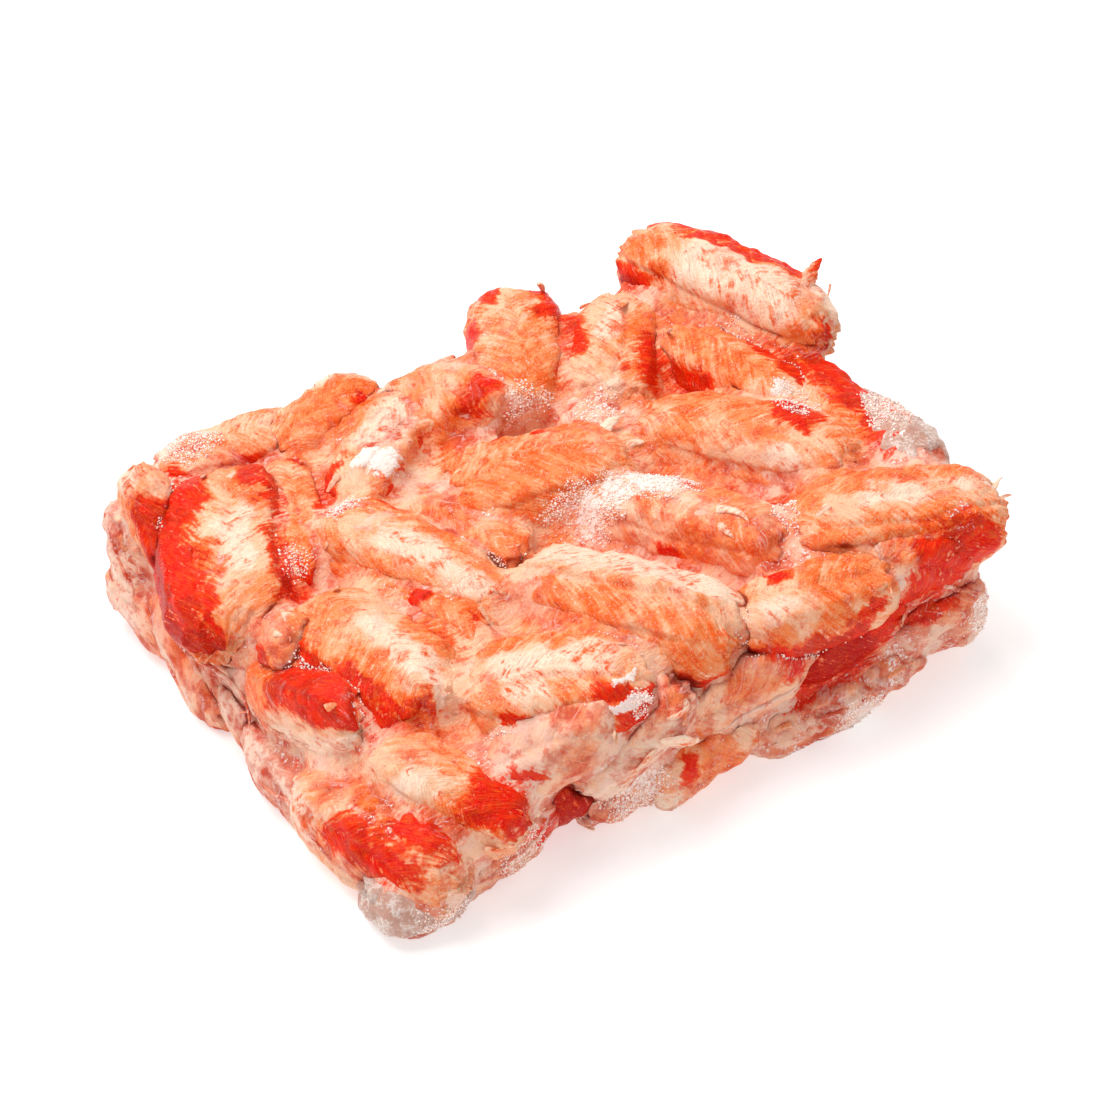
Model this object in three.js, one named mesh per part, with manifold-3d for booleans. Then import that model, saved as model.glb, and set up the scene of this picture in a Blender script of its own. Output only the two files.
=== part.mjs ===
// A frozen block of shelled king crab leg meat: glazed pieces of leg meat laid around a frozen core.
// Millimetres, +Z up. The origin is the middle of the flat underside. X runs along the block's long side,
// and -Y is the long side that faces the viewer.
import * as THREE from "three";
import { mergeVertices } from "three/addons/utils/BufferGeometryUtils.js";
import Module from "manifold-3d";

const wasm = await Module();
wasm.setup();

// Driving dimensions of the block.
const BLOCK_LENGTH = 170;
const BLOCK_WIDTH = 130;
const BLOCK_HEIGHT = 48;
const GAP = 0.3; // clearance between neighbouring solids
const CRUST = 14; // how deep the outer pieces sit around the core

// Facets of one piece of meat, around and along it, and of the core.
const AROUND = 8;
const FACET_LENGTH = 9;
const FEWEST_ALONG = 5;
const CORE_AROUND = 16;
const CORE_ALONG = 7;

// The two sides that face away from the viewer carry two courses of pieces each.
const AWAY_SIDES = [
  { face: "right", crown: 92, from: -48, to: 66, perCourse: 2 },
  { face: "back", crown: 74, from: -84, to: 84, perCourse: 3 },
];
const COURSE_HEIGHTS = [12, 30]; // middles of the lower and the upper course
const COURSE_PIECE = [52, 20, 20]; // typical length, width and thickness

// Colours of the frozen meat and ice.
const TONES = {
  red_meat: { color: 0xc43a22, roughness: 0.35 },
  orange_meat: { color: 0xe0703f, roughness: 0.4 },
  pale_meat: { color: 0xeec2a0, roughness: 0.45 },
  glaze_ice: { color: 0xe3cdc6, roughness: 0.3 },
};
const materials = {};
for (const [name, look] of Object.entries(TONES)) {
  materials[name] = new THREE.MeshStandardMaterial({ ...look, metalness: 0 });
}

// Each face of the block is a group in which pieces lie flat: its local X and Y run over the face and
// its local Z points out of the block.
const FACE_TURNS = {
  top: [0, 0, 0],
  front: [Math.PI / 2, 0, 0],
  back: [Math.PI / 2, Math.PI, 0],
  left: [Math.PI / 2, -Math.PI / 2, 0],
  right: [Math.PI / 2, Math.PI / 2, 0],
};

// Pieces of leg meat, the most prominent first: a later piece is pressed against the earlier ones.
// at: where its middle is, over the face; crown: how far its outer side stands from the block's middle
// plane (from the underside on top); heading: direction of its long axis over the face, in degrees;
// pitch: how much the leading end rises; roll: how much the piece leans about its own long axis;
// size: length, width and thickness.
const PIECES = [
  { face: "top", tone: "red_meat", at: [-72, 34], crown: 50, heading: 62, pitch: 6, size: [57, 34, 26], roll: -8 },
  { face: "top", tone: "red_meat", at: [-64, -16], crown: 48, heading: 101, pitch: 7, size: [48, 33, 26] },
  { face: "top", tone: "orange_meat", at: [-3, -34], crown: 50, heading: -55, pitch: -2, size: [58, 31, 26] },
  { face: "top", tone: "pale_meat", at: [69, -44], crown: 50, heading: -20, pitch: 1, size: [56, 31, 26] },
  { face: "top", tone: "pale_meat", at: [82, 45], crown: 62, heading: -65, pitch: -7, size: [62, 27, 25] },
  { face: "top", tone: "pale_meat", at: [-31, -44], crown: 46, heading: -20, pitch: 0, size: [47, 32, 24] },
  { face: "top", tone: "pale_meat", at: [-38, 6], crown: 50, heading: -68, pitch: -2, size: [53, 25, 22] },
  { face: "top", tone: "orange_meat", at: [55, -2], crown: 51, heading: -49, pitch: -2, size: [59, 27, 22] },
  { face: "top", tone: "orange_meat", at: [34, -56], crown: 46, heading: -8, pitch: 1, size: [44, 21, 20] },
  { face: "top", tone: "orange_meat", at: [6, 20], crown: 49, heading: -12, pitch: 2, size: [49, 31, 22] },
  { face: "top", tone: "orange_meat", at: [26, 60], crown: 54, heading: 58, pitch: 9, size: [42, 27, 22] },
  { face: "top", tone: "orange_meat", at: [49, 46], crown: 53, heading: 50, pitch: 9, size: [40, 26, 22] },
  { face: "top", tone: "orange_meat", at: [69, 23], crown: 51, heading: -72, pitch: -4, size: [48, 22, 20] },
  { face: "top", tone: "red_meat", at: [84, -2], crown: 48, heading: -86, pitch: -6, size: [46, 22, 20] },
  { face: "top", tone: "red_meat", at: [-43, -7], crown: 46, heading: -75, pitch: -3, size: [40, 16, 18] },
  { face: "top", tone: "orange_meat", at: [27, -17], crown: 47, heading: -54, pitch: -1, size: [52, 22, 20] },
  { face: "top", tone: "pale_meat", at: [-24, 47], crown: 49, heading: 39, pitch: 3, size: [48, 20, 20] },
  { face: "top", tone: "orange_meat", at: [2, 56], crown: 50, heading: -10, pitch: 6, size: [38, 26, 20] },
  { face: "top", tone: "red_meat", at: [-26, 68], crown: 47, heading: 14, pitch: 0, size: [36, 20, 20] },
  { face: "top", tone: "pale_meat", at: [-52, 37], crown: 46, heading: 67, pitch: 3, size: [46, 17, 18] },
  { face: "top", tone: "orange_meat", at: [-51, 74], crown: 44, heading: -10, pitch: 4, size: [42, 20, 20] },
  { face: "top", tone: "orange_meat", at: [-18, 14], crown: 43, heading: -72, pitch: 0, size: [40, 18, 16] },
  { face: "top", tone: "pale_meat", at: [31, 30], crown: 44, heading: 52, pitch: 0, size: [36, 18, 16] },
  { face: "top", tone: "red_meat", at: [46, -28], crown: 42, heading: -42, pitch: 0, size: [38, 16, 16] },
  { face: "left", tone: "pale_meat", at: [53, 26], crown: 76, heading: -12, pitch: -28, size: [40, 21, 20] },
  { face: "left", tone: "orange_meat", at: [46, 14], crown: 92, heading: 2, pitch: -16, size: [50, 26, 24] },
  { face: "left", tone: "orange_meat", at: [14, 29], crown: 88, heading: 18, pitch: -10, size: [44, 22, 20] },
  { face: "left", tone: "pale_meat", at: [-20, 24], crown: 88, heading: -14, pitch: 0, size: [46, 19, 20] },
  { face: "left", tone: "pale_meat", at: [4, 33], crown: 86, heading: -80, pitch: 0, size: [28, 16, 18] },
  { face: "left", tone: "pale_meat", at: [-66, 23], crown: 90, heading: 100, pitch: 0, size: [31, 20, 20] },
  { face: "left", tone: "red_meat", at: [-60, 10], crown: 91, heading: -8, pitch: 0, size: [34, 18, 20] },
  { face: "left", tone: "orange_meat", at: [-36, 11], crown: 91, heading: -24, pitch: 0, size: [42, 18, 20] },
  { face: "left", tone: "pale_meat", at: [14, 9], crown: 92, heading: -14, pitch: 0, size: [40, 18, 20] },
  { face: "left", tone: "red_meat", at: [-8, 10], crown: 89, heading: -20, pitch: 0, size: [30, 16, 18] },
  { face: "left", tone: "orange_meat", at: [-56, 39], crown: 88, heading: -35, pitch: 0, size: [30, 13, 14] },
  { face: "front", tone: "pale_meat", at: [12, 25], crown: 66, heading: 14, pitch: 0, size: [42, 24, 22] },
  { face: "front", tone: "pale_meat", at: [-40, 31], crown: 67, heading: 14, pitch: 0, size: [38, 18, 22] },
  { face: "front", tone: "orange_meat", at: [0, 11], crown: 68, heading: 14, pitch: 0, size: [34, 19, 22] },
  { face: "front", tone: "pale_meat", at: [-20, 25], crown: 68, heading: 29, pitch: 0, size: [36, 16, 20] },
  { face: "front", tone: "red_meat", at: [44, 24], crown: 63, heading: 11, pitch: 0, size: [38, 17, 20] },
  { face: "front", tone: "red_meat", at: [70, 34], crown: 63, heading: -3, pitch: 0, size: [38, 18, 20] },
  { face: "front", tone: "red_meat", at: [71, 15], crown: 64, heading: 0, pitch: 0, size: [36, 22, 20] },
  { face: "front", tone: "pale_meat", at: [40, 8], crown: 66, heading: 6, pitch: 0, size: [54, 14, 18] },
  { face: "front", tone: "red_meat", at: [-57, 11], crown: 66, heading: 14, pitch: 0, size: [34, 20, 22] },
  { face: "front", tone: "red_meat", at: [-37, 12], crown: 62, heading: 10, pitch: 0, size: [32, 16, 20] },
  { face: "front", tone: "orange_meat", at: [-20, 8], crown: 64, heading: 2, pitch: 0, size: [30, 14, 18] },
  { face: "front", tone: "glaze_ice", at: [-79, 8], crown: 70, heading: 0, pitch: 0, size: [26, 15, 22] },
  { face: "right", tone: "glaze_ice", at: [-16, 37], crown: 98, heading: -8, pitch: 0, size: [42, 22, 20] },
];

// One course after another over a side that faces away: pieces end to end, each turned, lifted and sized a
// little differently, with the upper course staggered over the lower one.
function awayCourses({ face, crown, from, to, perCourse }) {
  const tones = ["orange_meat", "pale_meat", "red_meat"];
  const pitchAlong = (to - from) / perCourse;
  const pieces = [];
  COURSE_HEIGHTS.forEach((height, course) => {
    for (let i = 0; i < perCourse; i++) {
      const wave = Math.sin(2.1 * i + 3.7 * course + crown);
      const ripple = Math.cos(4.3 * i + 1.9 * course + crown);
      pieces.push({
        face,
        tone: tones[(i + course) % tones.length],
        at: [from + (i + 0.5 + 0.16 * (2 * course - 1)) * pitchAlong, height + 1.5 * ripple],
        crown: crown + 1.5 * wave,
        heading: 26 * wave,
        pitch: 3 * ripple,
        size: [COURSE_PIECE[0] + 4 * ripple, COURSE_PIECE[1] + 2 * wave, COURSE_PIECE[2]],
      });
    }
  });
  return pieces;
}

// A rounded bar of muscle along X: blunt ends, a flattened oval section, a shallow groove along its
// outer side, and a slight bend and taper.
function legMeat([length, width, thickness], { taper, bend, grow = 0 }) {
  const END_BLUNTNESS = 3.2;
  const SECTION_FULLNESS = 2.3;
  const GROOVE_DEPTH = 0.05;
  const facetsAlong = Math.max(FEWEST_ALONG, Math.round(length / FACET_LENGTH));
  const geometry = new THREE.SphereGeometry(1, AROUND, facetsAlong);
  geometry.deleteAttribute("normal");
  geometry.deleteAttribute("uv");
  const place = geometry.getAttribute("position");
  const power = (value, exponent) => Math.sign(value) * Math.abs(value) ** (2 / exponent);
  for (let i = 0; i < place.count; i++) {
    const along = power(place.getY(i), END_BLUNTNESS);
    const ring = power(Math.hypot(place.getX(i), place.getZ(i)), END_BLUNTNESS);
    const angle = Math.atan2(place.getX(i), place.getZ(i));
    const girth = ring * (1 - taper * along);
    const side = power(Math.cos(angle), SECTION_FULLNESS);
    const out = power(Math.sin(angle), SECTION_FULLNESS);
    const groove = GROOVE_DEPTH * thickness * Math.max(0, out) * Math.exp(-((side / 0.4) ** 2)) * ring;
    place.setXYZ(
      i,
      along * (length / 2 + grow),
      side * girth * (width / 2 + grow) + bend * width * (1 - along * along),
      out * girth * (thickness / 2 + grow) - groove,
    );
  }
  return mergeVertices(geometry, 1e-4);
}

// The frozen middle of the block: a slab with rounded corners, a slightly uneven outline and a flat underside.
function frozenCore(grow = 0) {
  const CORNER_FULLNESS = 4.5;
  const EDGE_FULLNESS = 4;
  const UNEVENNESS = 1.2;
  const top = BLOCK_HEIGHT - CRUST + grow;
  const geometry = new THREE.SphereGeometry(1, CORE_AROUND, CORE_ALONG);
  geometry.deleteAttribute("normal");
  geometry.deleteAttribute("uv");
  geometry.rotateX(Math.PI / 2);
  const place = geometry.getAttribute("position");
  const power = (value, exponent) => Math.sign(value) * Math.abs(value) ** (2 / exponent);
  for (let i = 0; i < place.count; i++) {
    const height = power(place.getZ(i), EDGE_FULLNESS);
    const ring = power(Math.hypot(place.getX(i), place.getY(i)), EDGE_FULLNESS);
    const angle = Math.atan2(place.getY(i), place.getX(i));
    const wave = UNEVENNESS * Math.sin(5 * angle + 3 * height) * ring;
    place.setXYZ(
      i,
      power(Math.cos(angle), CORNER_FULLNESS) * ring * (BLOCK_LENGTH / 2 - CRUST + grow) + wave,
      power(Math.sin(angle), CORNER_FULLNESS) * ring * (BLOCK_WIDTH / 2 - CRUST + grow) + wave,
      Math.max(0, (height * 0.62 + 0.38) * top),
    );
  }
  return mergeVertices(geometry, 1e-4);
}

// A closed geometry, placed by a matrix, as a solid that can be cut.
function solidOf(geometry, matrix = new THREE.Matrix4()) {
  const placed = mergeVertices(geometry.clone().applyMatrix4(matrix), 1e-4);
  return new wasm.Manifold(
    new wasm.Mesh({
      numProp: 3,
      vertProperties: new Float32Array(placed.attributes.position.array),
      triVerts: new Uint32Array(placed.index.array),
    }),
  );
}

// A cut solid as a geometry again, in the frame that the inverse matrix leads to.
function geometryOf(solid, inverse = new THREE.Matrix4()) {
  const mesh = solid.getMesh();
  const geometry = new THREE.BufferGeometry();
  geometry.setAttribute("position", new THREE.BufferAttribute(new Float32Array(mesh.vertProperties), 3));
  geometry.setIndex(new THREE.BufferAttribute(new Uint32Array(mesh.triVerts), 1));
  geometry.applyMatrix4(inverse);
  geometry.computeVertexNormals();
  return geometry;
}

// The largest of the bodies that a cut has left.
function largest(solid) {
  return solid.decompose().reduce((a, b) => (b.volume() > a.volume() ? b : a));
}

const block = new THREE.Group();
const faces = {};
for (const [name, turn] of Object.entries(FACE_TURNS)) {
  faces[name] = new THREE.Group();
  faces[name].rotation.set(...turn);
  block.add(faces[name]);
}

const core = new THREE.Mesh(frozenCore(), materials.glaze_ice);
core.name = "frozen_core";
block.add(core);

// Everything stands on the flat of the freezing tray.
const trayAir = new THREE.BoxGeometry(400, 400, 200);
trayAir.deleteAttribute("normal");
trayAir.deleteAttribute("uv");
const aboveTray = solidOf(trayAir, new THREE.Matrix4().makeTranslation(0, 0, 100));

const taken = [solidOf(frozenCore(GAP))];
const counts = {};
[...PIECES, ...AWAY_SIDES.flatMap(awayCourses)].forEach((piece, index) => {
  counts[piece.face] = (counts[piece.face] ?? 0) + 1;
  const mesh = new THREE.Mesh(undefined, materials[piece.tone]);
  mesh.name = `${piece.face}_meat_${String(counts[piece.face]).padStart(2, "0")}`;
  mesh.position.set(piece.at[0], piece.at[1], piece.crown - piece.size[2] / 2);
  const [roll, pitch, heading] = [piece.roll ?? 0, -piece.pitch, piece.heading].map(THREE.MathUtils.degToRad);
  mesh.rotation.set(roll, pitch, heading, "ZYX");
  faces[piece.face].add(mesh);
  block.updateMatrixWorld(true);
  const shape = { taper: 0.1 * Math.sin(2.4 * index), bend: 0.08 * Math.cos(1.7 * index) };
  let solid = solidOf(legMeat(piece.size, shape), mesh.matrixWorld).intersect(aboveTray);
  for (const neighbour of taken) solid = solid.subtract(neighbour);
  mesh.geometry = geometryOf(largest(solid), mesh.matrixWorld.clone().invert());
  taken.push(solidOf(legMeat(piece.size, { ...shape, grow: GAP }), mesh.matrixWorld));
});

export default block;
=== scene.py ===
"""The looks of a frozen block of shelled king crab leg meat: each piece of meat gets torn, fibrous,
mottled flesh under a wet glaze, and the frozen core becomes the icy filling between the pieces.
Lengths in the code are in millimetres unless a name says otherwise; the meshes are in metres."""
import math

import bmesh
import bpy
import numpy as np
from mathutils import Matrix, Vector


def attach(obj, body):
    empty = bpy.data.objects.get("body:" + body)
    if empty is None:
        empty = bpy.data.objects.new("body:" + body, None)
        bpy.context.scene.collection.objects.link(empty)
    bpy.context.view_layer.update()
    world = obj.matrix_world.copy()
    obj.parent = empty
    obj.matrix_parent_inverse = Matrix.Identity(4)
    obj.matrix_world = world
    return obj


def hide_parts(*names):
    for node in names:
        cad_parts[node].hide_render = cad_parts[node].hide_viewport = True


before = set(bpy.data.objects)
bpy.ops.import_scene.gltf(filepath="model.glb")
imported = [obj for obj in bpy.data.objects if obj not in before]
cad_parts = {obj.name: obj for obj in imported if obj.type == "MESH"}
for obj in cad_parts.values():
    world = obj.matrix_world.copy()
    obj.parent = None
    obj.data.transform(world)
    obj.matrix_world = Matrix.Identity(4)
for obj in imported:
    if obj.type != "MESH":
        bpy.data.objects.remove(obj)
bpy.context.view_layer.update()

MM = 0.001

# ---------------------------------------------------------------- driving values
VOXEL = 0.62  # facet size of the meat
FILL_VOXEL = 1.2  # facet size of the ice between the pieces
ROUNDING = 1.3  # how far the faceted solids are rounded off
SWELL = 0.5  # flesh past its solid, where the glaze joins the pieces
FILL_SWELL = 3.0  # hollows narrower than twice this are filled with ice
FILL_DEPTH = 0.95  # how far the ice lies below the crowns of the meat
CORE_VOXEL = 1.5  # facet size of the core and the pocket ice before they are joined
FROST_GRAINS = 24000
GRAIN_RADIUS = 0.24  # of a middling crystal of rime
ICE_IOR = 1.31

CAMERA_AZIMUTH, CAMERA_ELEVATION = -33.6, 39.2  # degrees
CAMERA_DISTANCE, CAMERA_LENS = 807.0, 107.05
CAMERA_AIM = (-2.6, 5.9, 24.0)  # right and up in the picture, and above the floor
SENSOR = 36.0
# Soft boxes: (name, place and side in metres, power in watts). They face the middle of the block.
LIGHTS = (
    ("key", (-0.36, 0.34, 1.15), 0.75, 12.9),
    ("glint", (0.25, 0.85, 0.85), 0.16, 3),
    ("fill", (0.2, -1.1, 0.7), 0.9, 1.5),
)
LIT_POINT = (0, 0, 0.02)  # metres
WORLD_STRENGTH = 0.47
FLOOR_GREY, FLOOR_GLOW, FLOOR_REACH = 0.66, 0.5, 6.0  # the reach in metres, from the middle to an edge

# Face frames: the first two vectors run over the face, the third points out of the block.
FACES = {
    "top": ((1, 0, 0), (0, 1, 0), (0, 0, 1)),
    "front": ((1, 0, 0), (0, 0, 1), (0, -1, 0)),
    "back": ((-1, 0, 0), (0, 0, 1), (0, 1, 0)),
    "left": ((0, -1, 0), (0, 0, 1), (-1, 0, 0)),
    "right": ((0, 1, 0), (0, 0, 1), (1, 0, 0)),
}
LEADING = math.radians(-10)  # a piece's leading end is the one nearest this direction over its face

# Patches of colour on each piece: (kind, from and to in degrees around it, from and to along it).
# 0 degrees faces out of the block, and 90 degrees is the left side looking along it; along it
# runs -1 to 1.
LOOKS = {
    "top_meat_01": [
        ("red", 20, 112, -1, 1), ("deep", 52, 100, -1, 0.8), ("red", 4, 20, -1, -0.5),
        ("cream", -26, 10, -0.6, 0.4), ("red", -105, -44, -0.85, 1), ("red", -44, -24, 0.3, 1),
        ("deep", -82, -60, -0.8, 0.2)],
    "top_meat_02": [
        ("orange", -130, -8, -1, 1), ("red", -115, -46, -0.6, 1), ("red", -46, -28, 0.1, 1),
        ("deep", -100, -80, 0.5, 1), ("cream", -8, 24, -0.3, 1), ("red", 40, 60, 0.2, 0.75),
        ("red", -24, -6, 0.85, 1)],
    "top_meat_03": [
        ("cream", 2, 62, -0.95, 0.9), ("orange", -110, -14, -1, 1), ("red", -150, -88, 0.5, 1),
        ("red", 52, 90, -0.6, 0.6)],
    "top_meat_04": [
        ("cream", -22, 12, -0.4, 0.3), ("cream", -10, 10, 0.5, 0.95), ("cream", 20, 44, 0.85, 1),
        ("orange", -100, -30, -1, 1), ("orange", 12, 50, -1, 0.8), ("red", -110, -44, 0.15, 0.82)],
    "top_meat_05": [
        ("cream", -60, 20, -0.45, 0.7), ("cream", 10, 50, 0.1, 1), ("red", 10, 24, -0.6, 0.1),
        ("red", 24, 70, -0.9, 0.55), ("red", -110, -62, -0.95, -0.45), ("deep", -100, -74, -0.8, -0.55),
        ("orange", -120, -70, -0.4, 1), ("red", -120, -80, 0.6, 1), ("orange", -60, 0, -1, -0.55),
        ("red", -50, -10, 0.84, 1)],
    "top_meat_06": [
        ("cream", -24, 34, -0.75, 0.55), ("cream", -60, -20, -0.6, -0.1),
        ("red", -82, -64, -0.62, -0.42), ("red", -60, -36, 0.35, 1), ("red", -110, -60, 0.5, 1),
        ("orange", -130, -58, -1, 0.3), ("orange", 30, 60, -1, 1), ("white", -62, -46, 0.5, 0.82),
        ("white", -30, -20, 0.5, 0.75)],
    "top_meat_07": [
        ("cream", -42, 14, -0.45, 1), ("red", -10, 20, -1, -0.78), ("orange", -140, -46, -1, 0.3),
        ("orange", 18, 60, -1, 0.5), ("red", 44, 60, -0.5, -0.2)],
    "top_meat_08": [
        ("orange", -140, -62, -0.75, 1), ("red", -6, 45, 0.15, 0.5), ("orange", -20, 45, -0.7, 0.2),
        ("cream", -60, -36, 0.1, 0.5), ("orange", 20, 60, -1, 1), ("red", -125, -104, -0.4, 0.4)],
    "top_meat_09": [
        ("cream", -42, -8, -0.85, -0.2), ("orange", -60, 60, -0.1, 1), ("red", -140, -84, -1, 0.5),
        ("red", -84, -62, 0.2, 0.7), ("red", 20, 40, -0.4, -0.1)],
    "top_meat_10": [
        ("orange", -110, 60, -1, 1), ("red", 24, 44, 0.08, 0.24), ("red", 42, 56, -0.3, -0.16),
        ("cream", -120, -90, -0.2, 0.4), ("cream", -50, -32, 0.1, 0.4), ("cream", -14, 4, -0.42, -0.15),
        ("cream", 38, 70, 0.75, 1)],
    "top_meat_11": [
        ("orange", -60, 40, -0.8, 0.3), ("red", -80, -22, 0.25, 1), ("red", 18, 50, 0.58, 1),
        ("red", 42, 100, 0, 0.4), ("red", -90, -56, -0.6, -0.1)],
    "top_meat_12": [
        ("cream", -8, 20, -0.2, 0.6), ("red", -75, -26, -0.65, 0.05), ("red", 32, 90, -0.4, 0.35),
        ("orange", -60, -20, 0, 0.8), ("cream", 40, 80, -1, -0.6), ("cream", -20, 30, -1, -0.7)],
    "top_meat_13": [
        ("white", -36, -14, 0.56, 0.8), ("orange", -60, 60, -1, 0.6), ("red", 20, 60, 0, 0.9),
        ("red", -120, -58, -0.8, 0.1)],
    "top_meat_14": [
        ("red", -12, 70, -1, 1), ("red", -60, -10, -1, -0.4), ("orange", -50, -8, -0.3, 0.6)],
    "top_meat_15": [
        ("orange", -150, 60, -0.6, 1), ("red", -40, 20, -0.2, 0.12), ("red", -6, 15, 0.55, 0.8),
        ("red", -115, -66, -0.2, 0.7)],
    "top_meat_16": [
        ("orange", -60, 50, -0.2, 1), ("red", 22, 50, -0.6, -0.1), ("red", -110, -84, -0.3, 0.1),
        ("cream", -150, -90, -1, -0.7), ("cream", -20, 0, -0.25, 0.25)],
    "top_meat_17": [
        ("cream", -40, 35, -0.3, 0.75), ("white", -48, 8, -0.6, -0.18), ("orange", -100, -20, -1, -0.5),
        ("red", -62, -50, -0.6, -0.36), ("red", 34, 90, -1, -0.5), ("red", -70, -44, 0.2, 0.5)],
    "top_meat_18": [
        ("cream", -40, -10, -1, -0.5), ("red", -40, 20, 0.4, 0.8), ("red", -160, -90, 0.1, 0.7),
        ("orange", 0, 60, 0, 1)],
    "top_meat_19": [
        ("orange", -90, 40, -1, 0.8), ("red", -140, -92, -1, -0.2), ("cream", 24, 60, 0.2, 0.8),
        ("red", -60, -24, 0.25, 0.6)],
    "top_meat_20": [
        ("orange", -30, 60, -0.8, 0.6), ("red", -70, -30, -0.4, 0.2), ("red", -30, 10, 0.75, 1),
        ("red", -30, 40, -1, -0.84)],
    "top_meat_21": [
        ("red", -80, -16, -1, -0.6), ("cream", 14, 60, -1, -0.4), ("cream", 34, 60, 0.1, 0.5),
        ("red", -60, -44, 0, 0.3)],
    "top_meat_22": [("orange", -80, 60, -0.5, 1), ("cream", 0, 30, -0.7, -0.3)],
    "top_meat_23": [("cream", -40, 20, -1, 0.4)],
    "top_meat_24": [("red", -150, 60, -1, 1)],
    "left_meat_01": [
        ("cream", 28, 76, -0.5, 0), ("orange", 60, 140, -1, 0.2), ("red", 30, 130, 0.25, 1)],
    "left_meat_02": [
        ("red", 4, 52, -0.28, 0.75), ("red", 52, 112, 0.2, 0.95), ("orange", 50, 120, -1, 0.2),
        ("cream", -20, 50, -1, -0.38)],
    "left_meat_03": [("orange", 0, 150, -1, 1), ("red", 12, 120, -0.3, 1), ("cream", -70, -14, -1, 1)],
    "left_meat_05": [("orange", -160, 160, -1, 1), ("red", -60, 20, -1, 0.2)],
    "left_meat_06": [("cream", -60, 60, -1, 1)],
    "left_meat_07": [("cream", -30, 30, -1, 0.2)],
    "left_meat_09": [("cream", -20, 60, -1, 0.6), ("red", 66, 140, -0.2, 0.3)],
    "left_meat_10": [("red", -60, -10, 0, 1), ("cream", 0, 60, -1, 0)],
    "left_meat_11": [("red", 8, 150, -0.3, 0.9), ("cream", 0, 60, -1, -0.45)],
    "front_meat_01": [("orange", -10, 50, -0.5, 0.3), ("red", 6, 70, 0.35, 0.8)],
    "front_meat_02": [("orange", 40, 140, -1, 0.45), ("red", 0, 40, -0.7, -0.2)],
    "front_meat_03": [
        ("red", 0, 50, -0.62, -0.36), ("orange", -8, 60, -0.4, 0.3), ("cream", -60, 0, -1, -0.5)],
    "front_meat_04": [("cream", -60, 40, -1, 1)],
    # front_meat_05 lies in the recess under the top pieces: its deep patch is dark red with the painted
    # shade of that recess.
    "front_meat_05": [("red", -150, 160, -1, 1), ("deep", -60, 110, -1, 0.3)],
    "front_meat_06": [("red", -60, 90, -0.6, 0.7)],
    "front_meat_07": [("red", 36, 100, -0.5, 0.4), ("cream", -60, 0, 0.5, 1)],
    "front_meat_08": [("cream", -20, 34, -0.7, 0.8), ("red", 56, 110, -0.6, 0.4)],
    "front_meat_09": [("red", -40, 20, 0.35, 1), ("orange", 0, 60, -0.3, 0.3)],
    "front_meat_10": [("red", -150, 160, -1, 1), ("deep", -60, 120, -1, 1)],
    "front_meat_11": [("orange", 0, 60, -0.6, 0), ("cream", -40, 40, 0.3, 1)],
    "right_meat_01": [("red", 100, 170, -0.8, 0.3)],
}
# Patches of the pieces that have no row above, one set after another.
COMMON_LOOKS = [
    [("orange", -120, 0, -1, 1), ("red", -70, -30, -0.6, 0.7), ("cream", 20, 50, -0.6, 0.5)],
    [("orange", 10, 140, -1, 1), ("red", 50, 100, -0.8, 0.4), ("cream", -40, 0, -0.3, 0.8)],
    [("cream", -60, 20, -1, -0.2), ("orange", -160, 160, -0.1, 1), ("red", -40, 20, 0.2, 0.9)],
    [("red", -150, -30, -1, 0.6), ("orange", -30, 150, -1, 1), ("cream", -20, 20, 0, 0.8)],
]
# Ledges where one strip of muscle stands above the next: (degrees around, from and to along, height).
LEDGES = {
    "top_meat_03": (-8, -0.9, 0.8, 1.5), "top_meat_01": (22, -0.8, 0.9, 0.6),
    "top_meat_02": (-4, -0.6, 0.9, 0.7), "top_meat_06": (-24, -0.3, 0.9, 0.8),
    "top_meat_04": (-32, -0.6, 0.9, 0.9), "top_meat_05": (-62, -0.9, 0.7, 0.9),
    "top_meat_10": (10, -0.8, 0.6, 0.7), "top_meat_08": (-60, -0.7, 0.6, 0.6),
    "left_meat_02": (56, -0.7, 0.7, 0.8), "left_meat_01": (26, -0.6, 0.8, 0.9),
}
# How much of a piece is under milky glaze (0 to 1), by face, and for the pieces that differ.
GLAZE_OF_FACE = {"top": 0.2, "front": 0.7, "left": 0.72, "right": 0.6, "back": 0.6}
GLAZE = {
    "left_meat_01": 0.12, "left_meat_05": 0.4, "left_meat_02": 0.35, "left_meat_03": 0.4,
    "left_meat_11": 0.25, "front_meat_01": 0.45, "front_meat_03": 0.35, "front_meat_05": 0.1,
    "front_meat_10": 0.2, "front_meat_06": 0.4, "top_meat_16": 0.4, "top_meat_14": 0.2,
    "top_meat_18": 0.35, "top_meat_21": 0.35, "top_meat_20": 0.3, "top_meat_17": 0.3,
    "top_meat_22": 0.4, "top_meat_23": 0.4, "top_meat_24": 0.2,
}
SOLID_ICE = ("front_meat_12", "right_meat_01")  # lumps of clear ice
# Pieces with white rime frozen on, and how much.
FROSTY = {
    "front_meat_08": 0.26, "front_meat_11": 0.24, "front_meat_07": 0.2, "front_meat_09": 0.14,
    "front_meat_03": 0.12, "front_meat_02": 0.06, "top_meat_16": 0.1, "top_meat_04": 0.06,
    "left_meat_06": 0.15, "left_meat_09": 0.1,
}
# Ice that fills the deep pockets at the back: middle and half sizes.
POCKETS = ((36, 55, 17, 21, 12, 15), (-20, 55, 12, 10, 12, 10))
# Open holes between pieces, where the ice sinks and is painted dark as shade: (piece, along, degrees
# around, radius).
HOLES = (
    ("top_meat_22", 0.85, -50, 4.5), ("front_meat_04", 0.97, 60, 5), ("top_meat_09", -0.9, -100, 3),
    ("front_meat_10", -0.2, 10, 5), ("left_meat_08", 0.9, -60, 3), ("top_meat_05", -0.2, -110, 4),
)
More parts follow.
